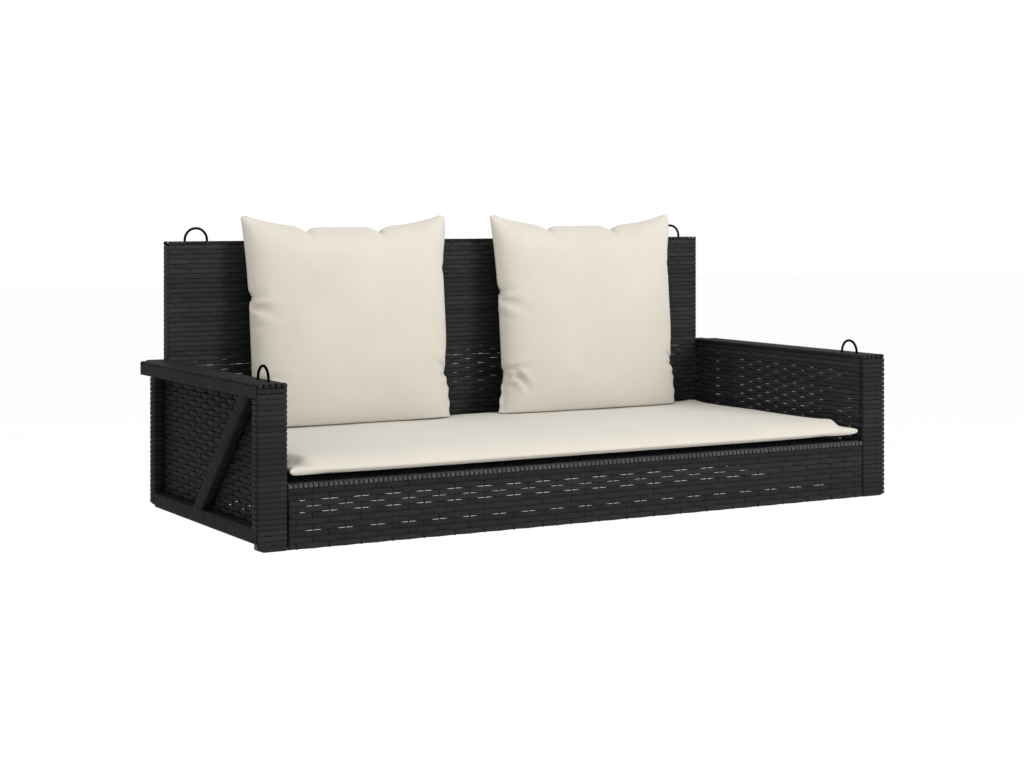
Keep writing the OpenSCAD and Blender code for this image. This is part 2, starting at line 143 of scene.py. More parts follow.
class Wicker:
    """Gathers strands into one mesh. Each point keeps (metres along, across, shade) for the material."""

    def __init__(self, seed, tone=USUAL_TONE):
        self.points, self.quads, self.caps, self.info = [], [], [], []
        self.count = 0
        self.tone = tone  # from 0 for the darkest strands to 2 for the lightest. Pieces set it to paint in light and shade, and the apron's top turns go above 1 for a painted glint
        self.random = random.Random(seed)

    def strand(self, path, across, normal, width, thick=STRAND_T, closed=False):
        """A flat strand whose underside follows path. across and normal are per point or for all."""
        path = np.asarray(path, float)
        n, k = len(path), len(STRAND_SECTION)
        across = np.broadcast_to(np.asarray(across, float), (n, 3))
        normal = np.broadcast_to(np.asarray(normal, float), (n, 3))
        width = np.broadcast_to(np.asarray(width, float), (n,))
        side = across[:, None, :] * (width[:, None] / 2 * STRAND_SECTION[:, 0])[:, :, None]
        rise = normal[:, None, :] * (thick * STRAND_SECTION[:, 1])[None, :, None]
        points = path[:, None, :] + side + rise
        run = np.concatenate([[0], np.cumsum(np.linalg.norm(np.diff(path, axis=0), axis=1))])
        shade = self.tone + self.jitter(SHADE_JITTER)
        info = np.stack([np.broadcast_to(run[:, None], (n, k)),
                         np.broadcast_to(STRAND_SECTION[:, 0], (n, k)),
                         np.full((n, k), shade)], axis=2)
        ring = np.arange(n if closed else n - 1)
        here = self.count + ring * k
        there = self.count + (ring + 1) % n * k
        at = np.arange(k)
        after = (at + 1) % k
        quads = np.stack([here[:, None] + at, here[:, None] + after,
                          there[:, None] + after, there[:, None] + at], axis=2).reshape(-1, 4)
        forward = np.dot(np.cross(across[0], normal[0]), path[1] - path[0]) > 0
        if forward:
            quads = quads[:, ::-1]
        self.points.append(points.reshape(-1, 3))
        self.info.append(info.reshape(-1, 3))
        self.quads.append(quads)
        if not closed:
            start = list(range(self.count, self.count + k))
            end = list(range(self.count + (n - 1) * k, self.count + n * k))
            self.caps += [start, end[::-1]] if forward else [start[::-1], end]
        self.count += n * k

    def jitter(self, size):
        return self.random.uniform(-size, size)

    def piece(self, name, *nodes):
        """Makes the mesh object, which stands for the given CAD nodes."""
        points = np.concatenate(self.points).tolist()
        faces = np.concatenate(self.quads).tolist() + self.caps
        piece = smooth_piece(name, points, faces, "strand", np.concatenate(self.info), "wicker")
        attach(piece, "frame")
        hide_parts(*nodes)


def steps(length, spacing):
    """How many equal spaces of about that size fit, and their true size."""
    count = max(1, round(length / spacing))
    return count, length / count


def woven_row(count, over, pinch=STAKE_PINCH, apart=STAKE_T):
    """A row round count stakes: places in stake gaps, distances in front of the stakes' middle, widths.

    over is 1 where the row passes in front of the first stake and -1 where it passes behind. pinch is
    the share of its width that it loses at a stake, and apart the free space between front and back rows."""
    # Where a row bends, in stake gaps. The point at the stake itself is there only to carry the pinch
    bends = np.array([0.0, 0.14, 0.5, 0.86] if pinch else [0.0, 0.14, 0.86])
    at = np.append((np.arange(count)[:, None] + bends).ravel(), count)
    wave = np.sin(math.pi * at)
    share = 1 - pinch * wave ** 2
    # The small power keeps a row flat over each stake and steep between stakes
    wave = np.sign(wave) * np.abs(wave) ** 0.12 * over
    return at, -STRAND_T / 2 + wave * (apart + STRAND_T) / 2, share


def row_levels(low, high, row):
    """Middles of equal rows that fill the space between two heights, and their pitch."""
    rows, pitch = steps(high - low, row)
    return [low + (j + 0.5) * pitch for j in range(rows)], pitch


def woven_sheet(wicker, corner, axes, length, height, levels, pitch, fill, first=0, **row):
    """Plain weave from a low corner. The axes are those of the rows, of the stakes, and out of the sheet.

    first is 1 where the lowest row passes in front of the first stake."""
    corner, along, up, out = (np.asarray(v, float) for v in (corner, *axes))
    stakes, gap = steps(length, STAKE_GAP)
    for k in range(stakes):
        foot = corner + along * (k + 0.5) * gap - out * STAKE_T / 2
        wicker.strand([foot, foot + up * height], along, out, STAKE_W, STAKE_T)
    for j, level in enumerate(levels):
        at, depth, share = woven_row(stakes, 1 if (j + first) % 2 else -1, **row)
        path = corner + along * (at * gap)[:, None] + up * (level + wicker.jitter(ROW_JITTER))
        wicker.strand(path + out * depth[:, None], up, out, pitch * fill * share)


def bend(corners, closed=False):
    """Points and outward directions along straight runs with rounded corners, counter-clockwise.

    A corner may give its own radius as a third number."""
    corners = [(*c, CORNER_R)[:3] for c in corners]
    flat = np.array([c[:2] for c in corners], float)
    ahead = np.roll(flat, -1, axis=0) - flat
    length = np.linalg.norm(ahead, axis=1)
    ahead = ahead / length[:, None]
    outward = np.stack([ahead[:, 1], -ahead[:, 0]], axis=1)
    points, normals = [], []
    for i, (a, b, r) in enumerate(corners):
        corner = np.array([a, b])
        if not closed and i in (0, len(corners) - 1):
            points.append(corner)
            normals.append(outward[0] if i == 0 else outward[i - 1])
            continue
        # A bend takes up less than half of either run beside it
        r = min(r, length[i] * 0.45, length[i - 1] * 0.45)
        before, after = corner - ahead[i - 1] * r, corner + ahead[i] * r
        points += [before, before * 0.22 + corner * 0.56 + after * 0.22, after]
        slant = outward[i - 1] + outward[i]
        normals += [outward[i - 1], slant / np.linalg.norm(slant), outward[i]]
    return np.array(points), np.array(normals)


def wind(wicker, origin, axes, start, end, corners, pitch, closed=True, fill=BAR_FILL):
    """Strands side by side along a bar, each following the corners of its section in a and b.

    The axes are the bar's own, a and b."""
    origin, axis, axis_a, axis_b = (np.asarray(v, float) for v in (origin, *axes))
    flat, outward = bend(corners, closed=closed)
    path = origin + flat[:, :1] * axis_a + flat[:, 1:] * axis_b
    normals = outward[:, :1] * axis_a + outward[:, 1:] * axis_b
    turns, step = steps(end - start, pitch)
    for turn in range(turns):
        place = start + (turn + 0.5) * step + wicker.jitter(TURN_JITTER)
        press = normals * wicker.jitter(PRESS_JITTER)
        wicker.strand(path + axis * place + press, axis, normals, step * fill, closed=closed)


def rectangle(low_a, high_a, low_b, high_b):
    """Corners of the path round a rectangle whose sides are the outside of the wrapping."""
    a0, a1, b0, b1 = low_a + STRAND_T, high_a - STRAND_T, low_b + STRAND_T, high_b - STRAND_T
    return [(a1, b0), (a1, b1), (a0, b1), (a0, b0)]


# ---- Materials ----


class Nodes:
    """A short way to build a material's node tree."""

    def __init__(self, name):
        self.material = bpy.data.materials.new(name)
        self.material.use_nodes = True
        self.tree = self.material.node_tree
        self.shader = self.tree.nodes["Principled BSDF"]

    def add(self, kind, values=(), **settings):
        node = self.tree.nodes.new("ShaderNode" + kind)
        for key, value in settings.items():
            setattr(node, key, value)
        for key, value in dict(values).items():
            node.inputs[key].default_value = value
        return node

    def join(self, a, b):
        self.tree.links.new(a, b)

    def math(self, operation, *values):
        node = self.add("Math", operation=operation)
        for i, value in enumerate(values):
            if hasattr(value, "is_linked"):
                self.join(value, node.inputs[i])
            else:
                node.inputs[i].default_value = value
        return node.outputs[0]

    def ramp(self, source, *stops):
        node = self.add("ValToRGB")
        elements = node.color_ramp.elements
        while len(elements) < len(stops):
            elements.new(0.5)
        for element, (place, colour) in zip(elements, stops, strict=True):
            element.position = place
            element.color = (*colour, 1)
        self.join(source, node.inputs[0])
        return node.outputs[0]

    def noise(self, scale, detail, vector, roughness=0.5):
        node = self.add("TexNoise", {"Scale": scale, "Detail": detail, "Roughness": roughness})
        self.join(vector, node.inputs["Vector"])
        return node.outputs["Fac"]

    def object_space(self):
        return self.add("TexCoord").outputs["Object"]

    def bump(self, height, distance, strength):
        node = self.add("Bump", {"Distance": distance, "Strength": strength})
        self.join(height, node.inputs["Height"])
        self.join(node.outputs[0], self.shader.inputs["Normal"])

    def spread(self, source, low, high):
        node = self.add("MapRange", {"To Min": low, "To Max": high})
        self.join(source, node.inputs["Value"])
        return node.outputs[0]

    def set(self, **values):
        for key, value in values.items():
            self.shader.inputs[key.replace("_", " ")].default_value = value


# The strands' colour from the darkest to the lightest tone. The ramp covers tones 0 to 2; tones above 1 give
# the painted glint of the apron's top turns
WICKER_COLOURS = ((0.0, (0.0082, 0.0086, 0.0090)), (0.25, (0.0140, 0.0147, 0.0153)),
                  (0.5, (0.0250, 0.0258, 0.0262)), (1.0, (0.072, 0.074, 0.076)))
# The cloth's colour over its faint mottling, and the painted shade deep in the seam
CLOTH_COLOURS = ((0.25, (0.440, 0.408, 0.352)), (0.5, (0.462, 0.430, 0.374)), (0.78, (0.484, 0.452, 0.396)))
SEAM_SHADE_COLOUR = (0.32, 0.295, 0.245)
ZINC_COLOURS = ((0.3, (0.42, 0.43, 0.45)), (0.6, (0.56, 0.56, 0.55)), (0.85, (0.62, 0.58, 0.47)))
FLOOR_COLOURS = ((0.3, (0.975, 0.975, 0.972)), (0.7, (0.985, 0.985, 0.982)))
FRAME_BLACK = (0.012, 0.0122, 0.013)
HOOP_BLACK = (0.003, 0.003, 0.0031)
THREAD = 1.5 * MM  # distance between the cloth's threads


def wicker_material():
    """Flat polyethylene strand: ribbed along its length, satin, each strand a little different, each piece
    lighter or darker as painted light and shade.
    """
    n = Nodes("wicker_strand")
    strand = n.add("Attribute", attribute_name="strand")
    parts = n.add("SeparateXYZ")
    n.join(strand.outputs["Vector"], parts.inputs[0])
    along, across, shade = parts.outputs
    space = n.object_space()
    blotch = n.noise(34, 4, space)
    # Colour from the strand's shade, which holds its piece's painted light and shade and a random difference,
    # plus random blotches
    tone = n.math("ADD", shade, n.math("MULTIPLY", n.math("SUBTRACT", blotch, 0.5), 0.4))
    colour = n.ramp(n.math("MULTIPLY", tone, 0.5), *WICKER_COLOURS)
    n.join(colour, n.shader.inputs["Base Color"])
    fine = n.noise(900, 3, space)
    patchy = n.math("ADD", n.math("MULTIPLY", fine, 0.5), n.math("MULTIPLY", blotch, 0.5))
    n.join(n.spread(patchy, 0.5, 0.66), n.shader.inputs["Roughness"])
    ribs = n.math("SINE", n.math("MULTIPLY", across, 19.0))
    streak = n.add("CombineXYZ")
    n.join(n.math("MULTIPLY", along, 60.0), streak.inputs[0])
    n.join(n.math("MULTIPLY", across, 14.0), streak.inputs[1])
    n.join(n.math("MULTIPLY", shade, 90.0), streak.inputs[2])
    grain = n.noise(1.0, 4, streak.outputs[0])
    height = n.math("ADD", n.math("MULTIPLY", ribs, 0.35), n.math("MULTIPLY", grain, 0.9))
    n.bump(height, 0.00012, 0.6)
    n.set(Specular_IOR_Level=0.035)
    return n.material


def coated_steel(name, base, rough, specular):
    """Powder-coated steel with a fine orange-peel surface and dull patches."""
    n = Nodes(name)
    space = n.object_space()
    patches = n.noise(22, 4, space)
    dark = tuple(0.7 * c for c in base)
    light = tuple(1.6 * c for c in base)
    n.join(n.ramp(patches, (0.3, dark), (0.55, base), (0.8, light)), n.shader.inputs["Base Color"])
    n.join(n.spread(patches, rough - 0.07, rough + 0.1), n.shader.inputs["Roughness"])
    n.bump(n.noise(1400, 2, space), 0.00008, 0.5)
    n.set(Specular_IOR_Level=specular)
    return n.material


def zinc_material():
    """Zinc-plated steel: cool metal with faint yellow passivation and turning marks."""
    n = Nodes("zinc_plate")
    space = n.object_space()
    cloud = n.noise(160, 3, space)
    n.join(n.ramp(cloud, *ZINC_COLOURS), n.shader.inputs["Base Color"])
    n.join(n.spread(cloud, 0.28, 0.5), n.shader.inputs["Roughness"])
    n.bump(n.noise(2600, 2, space), 0.00004, 0.4)
    n.set(Metallic=1.0)
    return n.material


def fabric_material():
    """Cream outdoor polyester: plain weave, soft sheen, faint mottling, painted shade darker into the seam.
    """
    n = Nodes("cushion_cloth")
    cloth = n.add("Attribute", attribute_name="cloth")
    parts = n.add("SeparateXYZ")
    n.join(cloth.outputs["Vector"], parts.inputs[0])
    u, v, seam = parts.outputs
    space = n.object_space()
    mottle = n.noise(9, 5, space, 0.6)
    slub = n.noise(420, 2, space)
    mixed = n.math("ADD", n.math("MULTIPLY", mottle, 0.75), n.math("MULTIPLY", slub, 0.25))
    body = n.ramp(mixed, *CLOTH_COLOURS)
    edge = n.add("Mix", data_type="RGBA")
    # seam is the distance from it in metres, and the painted seam shade fades out over 3 mm
    fade = n.ramp(n.math("MULTIPLY", seam, 100.0), (0.0, (0.3, 0.3, 0.3)), (0.3, (0, 0, 0)))
    n.join(fade, edge.inputs["Factor"])
    n.join(body, edge.inputs["A"])
    edge.inputs["B"].default_value = (*SEAM_SHADE_COLOUR, 1)
    n.join(edge.outputs["Result"], n.shader.inputs["Base Color"])
    warp = n.math("SINE", n.math("MULTIPLY", u, 2 * math.pi / THREAD))
    weft = n.math("SINE", n.math("MULTIPLY", v, 2 * math.pi / THREAD))
    weave = n.math("MULTIPLY", warp, weft)
    height = n.math("ADD", n.math("MULTIPLY", weave, 0.5), n.math("MULTIPLY", slub, 0.8))
    n.bump(height, 0.0002, 0.35)
    n.join(n.spread(slub, 0.82, 0.98), n.shader.inputs["Roughness"])
    n.set(Sheen_Weight=0.25, Sheen_Roughness=0.5, Specular_IOR_Level=0.2)
    return n.material


def floor_material():
    """Plain pale studio floor."""
    n = Nodes("studio_floor")
    clouds = n.noise(0.7, 2, n.object_space())
    n.join(n.ramp(clouds, *FLOOR_COLOURS), n.shader.inputs["Base Color"])
    n.set(Roughness=0.9, Specular_IOR_Level=0.1)
    return n.material


MATERIALS = {
    "wicker": wicker_material(),
    "frame_steel": coated_steel("frame_powder_coat", FRAME_BLACK, rough=0.5, specular=0.3),
    "hoop_steel": coated_steel("hoop_powder_coat", HOOP_BLACK, rough=0.6, specular=0.0),
    "fasteners": zinc_material(),
    "cushion_fabric": fabric_material(),
}


def finish_cad_nodes():
    """Gives every carried-over CAD node the material of its slot."""
    slots = {part["node"]: part["material_slot"] for part in frame["record"]["subparts"]}
    for name, node in frame["nodes"].items():
        node.data.materials.clear()
        node.data.materials.append(MATERIALS[slots[name]])


# ---- Arms ----

X, Y, Z = np.eye(3)


def measured(node):
    """The low and high corner of a CAD node."""
    low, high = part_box(node)
    return np.array(low), np.array(high)


class Arm:
    """One arm's wicker. a is the distance inwards from the arm's outer face."""

    def __init__(self, side, seed):
        self.side, self.seed = side, seed
        low, high = self.box("top_rail_wrap")
        self.inward = X if side == "left" else -X
        self.outer_x = low[0] if side == "left" else high[0]
        self.front, self.end = low[1], high[1]
        self.rail_low, self.top = low[2], high[2]
        self.wide = high[0] - low[0]
        trim = self.box("trim_post_wrap")
        self.trim_wide = trim[1][0] - trim[0][0]
        self.trim_front, self.trim_back = trim[0][1], trim[1][1]
        post = self.box("rear_post_wrap")
        self.post_front, self.post_back = post[0][1], post[1][1]
        self.foot = post[0][2]
        self.rail_top = self.box("bottom_rail_wrap")[1][2]
        self.post_deep = self.box("front_post_wrap")[1][1]
        self.trim_end = self.front + TRIM_RAIL
        self.inner = self.wide - SHEET_T
        self.seam = self.front + STRAND_T + LIP + GROOVE
        self.origin = self.at(0, 0, 0)
        self.along = (Y, self.inward, Z)  # axes for bars that run from front to back

    def box(self, part):
        return measured(f"{self.side}_{part}")

    def wicker(self, tone=USUAL_TONE):
        self.seed += 1
        return Wicker(self.seed, tone)

    def at(self, a, y, z):
        return X * self.outer_x + self.inward * a + Y * y + Z * z

    def build(self):
        self.front_post()
        self.plain_post("rear_post", self.trim_wide, self.inner, self.post_front, self.post_back)
        self.plain_post("trim_post", 0, self.trim_wide, self.trim_front, self.trim_back)
        self.top_rail()
        self.bottom_rail()
        self.brace()
        self.panels()

    def front_post(self):
        """Level rows round the front, woven over one stake, that tuck in at the outer corner."""
        wicker = self.wicker(FRONT_POST_PAINTED_SHADE)
        rows = int((self.top - EDGE_LIP) / ARM_ROW)
        t, face = STRAND_T, self.front + STRAND_T
        stake, half_stake, dip = self.wide * POST_STAKE, 4 * MM, 0.9 * MM
        reach = 14 * MM  # how far the rows run back on the inner side, under the inner sheet
        for j in range(rows):
            z = (j + 0.5) * ARM_ROW
            sunk = dip if j % 2 else 0.0
            across = [(self.wide - t - 1.0 * MM, self.front + reach), (self.wide - t, face, INSIDE_R),
                      (stake + half_stake, face, TUCK_R), (stake, face + sunk, TUCK_R),
                      (stake - half_stake, face, TUCK_R), (12 * MM, face, TUCK_R), (t, face, EDGE_R),
                      (t, face + LIP, TUCK_R), (t + TUCK, face + LIP)]
            self.level_row(wicker, z, across, low_end=j == 0)
            if self.rail_top < z < self.rail_low:
                around = [(t + TUCK, self.seam), (t, self.seam, TUCK_R), (t, self.post_deep - t),
                          (6 * MM, self.post_deep - t)]
                self.level_row(wicker, z + wicker.jitter(POST_JITTER), around)
        wicker.piece(f"{self.side}_front_post_strands", f"{self.side}_front_post_wrap")

    def level_row(self, wicker, z, corners, low_end=False):
        """One level strand. With low_end it narrows and lifts towards the outer corner."""
        flat, outward = bend([(a, -y, *r) for a, y, *r in corners])
        path = np.array([self.at(a, -y, z) for a, y in flat])
        width = np.full(len(path), ARM_ROW * POST_FILL)
        if low_end:
            near = np.clip(1 - flat[:, 0] / (12 * MM), 0, 1)  # 1 at the corner, 0 from 12 mm inwards
            width *= 1 - 0.5 * near
            path[:, 2] += near * ARM_ROW * 0.25
        wicker.strand(path, Z, outward[:, :1] * self.inward - outward[:, 1:] * Y, width)

    def plain_post(self, part, low_a, high_a, front, back):
        """Closed turns up a square post, level with the arms' rows."""
        wicker = self.wicker(POST_PAINTED_SHADE)
        first = int(self.foot / ARM_ROW) + 1
        last = int(self.rail_low / ARM_ROW)
        wind(wicker, self.origin, (Z, self.inward, Y), first * ARM_ROW, last * ARM_ROW,
             rectangle(low_a, high_a, front, back), ARM_ROW)
        wicker.piece(f"{self.side}_{part}_strands", f"{self.side}_{part}_wrap")

    def top_rail(self):
        """Turns over the top that tuck in at the inner face, and closed turns beside the back."""
        wicker = self.wicker()
        t = STRAND_T
        top, low, tuck = self.top - t, self.rail_low + t, self.top - EDGE_LIP
        wide = self.wide - t
        over = [(wide - 3 * MM, tuck), (wide, tuck, TUCK_R), (wide, top), (t, top, EDGE_R),
                (t, top - LIP, TUCK_R), (t + TUCK, top - LIP)]
        groove = top - LIP - GROOVE
        down = [(t + TUCK, groove), (t, groove, TUCK_R), (t, low), (self.trim_wide - t, low)]
        whole = rectangle(0, self.wide, self.rail_low, self.top)
        main = rectangle(self.trim_wide, self.wide, self.rail_low, self.top)
        clear = 1.2 * MM  # room for the strands over the rail's ends
        for section, start, end, closed in ((over, self.front + clear, self.post_back, False),
                                            (down, self.seam, self.post_back, False),
                                            (whole, self.post_back, self.trim_end - clear, True),
                                            (main, self.trim_end, self.end - clear, True)):
            wind(wicker, self.origin, self.along, start, end, section, RAIL_PITCH, closed)
        self.strand_ends(wicker, 0, self.wide, self.front, -1)
        for low_a, high_a, y in ((self.trim_wide, self.wide, self.end), (0, self.trim_wide, self.trim_end)):
            self.strand_ends(wicker, low_a, high_a, y, 1)
            self.end_rows(wicker, low_a, high_a, y)
        wicker.piece(f"{self.side}_top_rail_strands", f"{self.side}_top_rail_wrap")

    def strand_ends(self, wicker, low_a, high_a, y, out):
        """Strands that come over the rail's end edge and stop a little way down, with gaps between."""
        count, step = steps(high_a - low_a, END_PITCH)
        t, down, back = STRAND_T, EDGE_LIP + 1.5 * MM, 16 * MM
        flat, outward = bend([(-t - 0.6 * MM, -down), (-t + 0.3 * MM, -t),
                              (-back * 0.6, -t + 0.4 * MM, TUCK_R), (-back, -2 * t)])
        for i in range(count):
            middle = self.at(low_a + (i + 0.5) * step, y, self.top)
            path = middle + flat[:, :1] * Y * out + flat[:, 1:] * Z
            normals = outward[:, :1] * Y * out + outward[:, 1:] * Z
            wicker.strand(path, X, normals, step * END_FILL)

    def end_rows(self, wicker, low_a, high_a, y):
        """Level rows that close a rail's rear end below the strand ends."""
        t, deep, splay = STRAND_T, 6 * MM, 0.5 * MM
        flat, outward = bend([(high_a - t - splay, -deep), (high_a - t, -t),
                              (low_a + t, -t), (low_a + t + splay, -deep)])
        levels, pitch = row_levels(self.rail_low, self.top - EDGE_LIP - MM, ARM_ROW)
        for z in levels:
            path = np.array([self.at(a, y + b, z) for a, b in flat])
            wicker.strand(path, Z, outward[:, :1] * self.inward + outward[:, 1:] * Y, pitch * END_ROW_FILL)

    def bottom_rail(self):
        """Three-sided turns below the front post, then closed turns."""
        wicker = self.wicker(BOTTOM_RAIL_PAINTED_SHADE)
        t, deep = STRAND_T, 12 * MM
        side = [(deep, self.rail_top - t), (t, self.rail_top - t), (t, self.foot + t), (deep, self.foot + t)]
        wind(wicker, self.origin, self.along, self.seam, self.post_deep, side, RAIL_PITCH, closed=False)
        for low_a, start, end in ((0, self.post_deep, self.trim_front),
                                  (self.trim_wide, self.trim_front, self.post_front)):
            section = rectangle(low_a, self.inner, self.foot, self.rail_top)
            wind(wicker, self.origin, self.along, start, end, section, RAIL_PITCH)
        wicker.piece(f"{self.side}_bottom_rail_strands", f"{self.side}_bottom_rail_wrap")

    def brace(self):
        """The wrapped 45 degree bar in the trim frame."""
        low, high = self.box("brace_wrap")
        tall = high[2] - low[2]
        half_wide = (high[1] - low[1] - tall) / 2 / math.sqrt(2)
        centre = self.at(self.trim_wide / 2, (low[1] + high[1]) / 2, (low[2] + high[2]) / 2)
        axis = (Y - Z) / math.sqrt(2)
        across = (Y + Z) / math.sqrt(2)
        half = tall / math.sqrt(2) + half_wide * 0.9
        wicker = self.wicker(BRACE_PAINTED_SHADE)
        section = rectangle(-self.trim_wide / 2, self.trim_wide / 2, -half_wide, half_wide)
        wind(wicker, centre, (axis, self.inward, across), -half, half, section, RAIL_PITCH)
        wicker.piece(f"{self.side}_brace_strands", f"{self.side}_brace_wrap")

    def panels(self):
        """The flush inner sheet covers posts and rails too; the outer sheet fills the trim frame."""
        start, last = self.front + 11 * MM, self.post_back + 2 * MM
        rows = range(int(self.foot / ARM_ROW), int((self.top - EDGE_LIP) / ARM_ROW))
        levels = [(j + 0.5) * ARM_ROW - self.foot for j in rows]
        inner = self.wicker(INNER_PAINTED_LIGHT)
        tall = self.top - EDGE_LIP - self.foot
        corner = self.at(self.inner + SHEET_T / 2, start, self.foot)
        woven_sheet(inner, corner, (Y, Z, self.inward), last - start, tall, levels, ARM_ROW, ARM_FILL,
                    first=1)
        # An upright strip closes the slit between this sheet and the back, as seen from the front
        strip = self.at(self.inner - 1.3 * MM, self.post_back + 5 * MM, self.foot)
        inner.strand([strip, strip + Z * tall], Y, self.inward, width=14 * MM)
        inner.piece(f"{self.side}_inner_panel_strands", f"{self.side}_inner_weave")
        # The outer rows are a little coarser, so that daylight shows through both sheets at once
        pitch = ARM_ROW * OUTER_COARSE
        tall = self.rail_low - self.rail_top
        rows = int(tall / pitch) + 2
        gap = self.rail_top / pitch
        levels = [(math.floor(gap) + j + 0.5) * pitch - OUTER_DROP - self.rail_top for j in range(rows)]
        levels = [z for z in levels if 0 < z < tall]
        outer = self.wicker(OUTER_PAINTED_SHADE)
        corner = self.at(self.trim_wide + SHEET_T / 2, self.post_deep, self.rail_top)
        woven_sheet(outer, corner, (Y, Z, -self.inward), self.post_front - self.post_deep, tall, levels,
                    pitch, ARM_FILL)
        outer.piece(f"{self.side}_outer_panel_strands", f"{self.side}_outer_weave")


# ---- Seat ----


def apron():
    """Front apron: a woven face in front of the wrapped top and bottom tubes."""
    low, high = measured("apron_weave")
    wicker = Wicker(300, APRON_PAINTED_SHADE)
    tube_h = high[1] - low[1]
    levels, pitch = row_levels(0.4 * MM, high[2] - EDGE_LIP - 1.2 * MM, APRON_ROW)
    gap = 2 * MM  # the dark joint between the apron and each arm
    corner = (low[0] + gap, low[1] + SHEET_T / 2, low[2])
    woven_sheet(wicker, corner, (X, Z, -Y), high[0] - low[0] - 2 * gap, high[2] - EDGE_LIP, levels, pitch,
                APRON_FILL)
    t, behind = STRAND_T, low[1] + SHEET_T
    lip, top, rear = high[2] - EDGE_LIP, high[2] - t, high[1] - t
    upper = [(rear, high[2] - tube_h + t), (rear, top), (low[1] + t, top), (low[1] + t, lip, TUCK_R),
             (behind + t, lip, TUCK_R), (behind + t, high[2] - tube_h + t)]
    lower = rectangle(behind, high[1], low[2], low[2] + tube_h)
    # The top turns get a very light tone, a painted glint on their bends, and the foot turns a darker tone,
    # painted shade
    for section, tone in ((upper, APRON_TOP_PAINTED_GLINT), (lower, APRON_FOOT_PAINTED_SHADE)):
        wicker.tone = tone
        wind(wicker, (0, 0, 0), (X, Y, Z), low[0], high[0], section, EDGE_PITCH, fill=TURN_FILL)
    wicker.piece("apron_strands", "apron_weave")


def seat_deck():
    """The deck under the pad, a tighter weave, and the wraps round its sides and rear."""
    low, high = measured("seat_deck_weave")
    wicker = Wicker(320)
    levels, pitch = row_levels(0, high[1] - low[1], APRON_ROW)
    corner = (low[0], low[1], (low[2] + high[2]) / 2)
    woven_sheet(wicker, corner, (X, Y, Z), high[0] - low[0], high[1] - low[1], levels, pitch, DECK_FILL,
                pinch=0, apart=DECK_APART)
    wicker.piece("seat_deck_strands", "seat_deck_weave")
    low, high = measured("seat_side_wraps")
    wicker = Wicker(330)
    wide = high[2] - low[2]
    for x in (low[0], high[0] - wide):
        section = rectangle(x, x + wide, low[2], high[2])
        wind(wicker, (0, 0, 0), (Y, X, Z), low[1], high[1], section, EDGE_PITCH)
    wicker.piece("seat_side_strands", "seat_side_wraps")
    low, high = measured("seat_rear_wrap")
    wicker = Wicker(340)
    section = rectangle(low[1], high[1], low[2], high[2])
    wind(wicker, (0, 0, 0), (X, Y, Z), low[0], high[0], section, EDGE_PITCH)
    wicker.piece("seat_rear_strands", "seat_rear_wrap")


# ---- Back ----


def back_panel():
    """Rows that run right round the panel, woven over stakes on both faces."""
    low, high = measured("back_front_weave")[0], measured("back_rear_weave")[1]
    top = measured("back_top_wrap")[1][2]
    wicker = Wicker(400, BACK_PAINTED_LIGHT)
    stakes, gap = steps(high[0] - low[0], STAKE_GAP)
    levels, pitch = row_levels(EDGE_LIP, top - EDGE_LIP, BACK_ROW)
    faces = ((low[1] + SHEET_T / 2, -Y), (high[1] - SHEET_T / 2, Y))
    for y, out in faces:
        for k in range(stakes):
            foot = np.array([low[0] + (k + 0.5) * gap, y, EDGE_LIP]) - out * STAKE_T / 2
            wicker.strand([foot, foot + Z * (top - 2 * EDGE_LIP)], X, out, STAKE_W, STAKE_T)
    # A row's bend round the panel's side: how far in from the side and round from the face each point is,
    # and how its direction splits between outwards from the face and sideways
    slant = math.sqrt(0.5)
    rounding = ((1.4 * MM, 0, 1, 0), (0.4 * MM, 0.6 * MM, slant, slant), (0, 2.0 * MM, 0, 1))
    for j, level in enumerate(levels):
        level += wicker.jitter(BACK_JITTER)
        path, normals = [], []
        for y, out in faces:
            front = out[1] < 0
            sideways = X if front else -X
            at, depth, _ = woven_row(stakes, 1 if j % 2 else -1, pinch=0)
            across = at[1:-1] * gap
            x = low[0] + across if front else high[0] - across
            z = level if front else level - BACK_DROP
            points = np.stack([x, np.full_like(x, y), np.full_like(x, z)], axis=1)
            path += list(points + out * depth[1:-1][:, None])
            normals += [out] * len(points)
            edge = high[0] - STRAND_T if front else low[0] + STRAND_T
            face = y + out[1] * 0.5 * MM
            for inset, shift, outwards, side in rounding:
                path.append((edge - sideways[0] * inset, face - out[1] * shift, level - BACK_DROP / 2))
                normals.append(out * outwards + sideways * side)
            for inset, shift, outwards, side in rounding[::-1]:
                path.append((edge - sideways[0] * inset, low[1] + high[1] - face + out[1] * shift,
                             level - BACK_DROP / 2))
                normals.append(sideways * side - out * outwards)
        wicker.strand(path, Z, normals, pitch * BACK_FILL, closed=True)
    wicker.piece("back_panel_strands", "back_front_weave", "back_rear_weave", "back_side_wraps")
    for name, z, up, seed in (("back_top", top, Z, 420), ("back_bottom", 0.0, -Z, 430)):
        edge = Wicker(seed)
        t, half = STRAND_T, (high[1] - low[1]) / 2
        over = [(half - TUCK, -EDGE_LIP), (half - t, -EDGE_LIP, TUCK_R), (half - t, -t), (t - half, -t),
                (t - half, -EDGE_LIP, TUCK_R), (TUCK - half, -EDGE_LIP)]
        origin = (0, (low[1] + high[1]) / 2, z)
        wind(edge, origin, (X, Y * up[2], up), low[0], high[0], over, EDGE_PITCH, closed=False, fill=CAP_FILL)
        edge.piece(f"{name}_strands", f"{name}_wrap")


# ---- Cushions ----

CLOTH = {"quality": 5, "mass": 0.25, "tension_stiffness": 25, "compression_stiffness": 25,
         "shear_stiffness": 8, "bending_stiffness": 0.35}


def bump(x, middle, width):
    """A smooth hump of height 1."""
    return np.exp(-((x - middle) / width) ** 2)


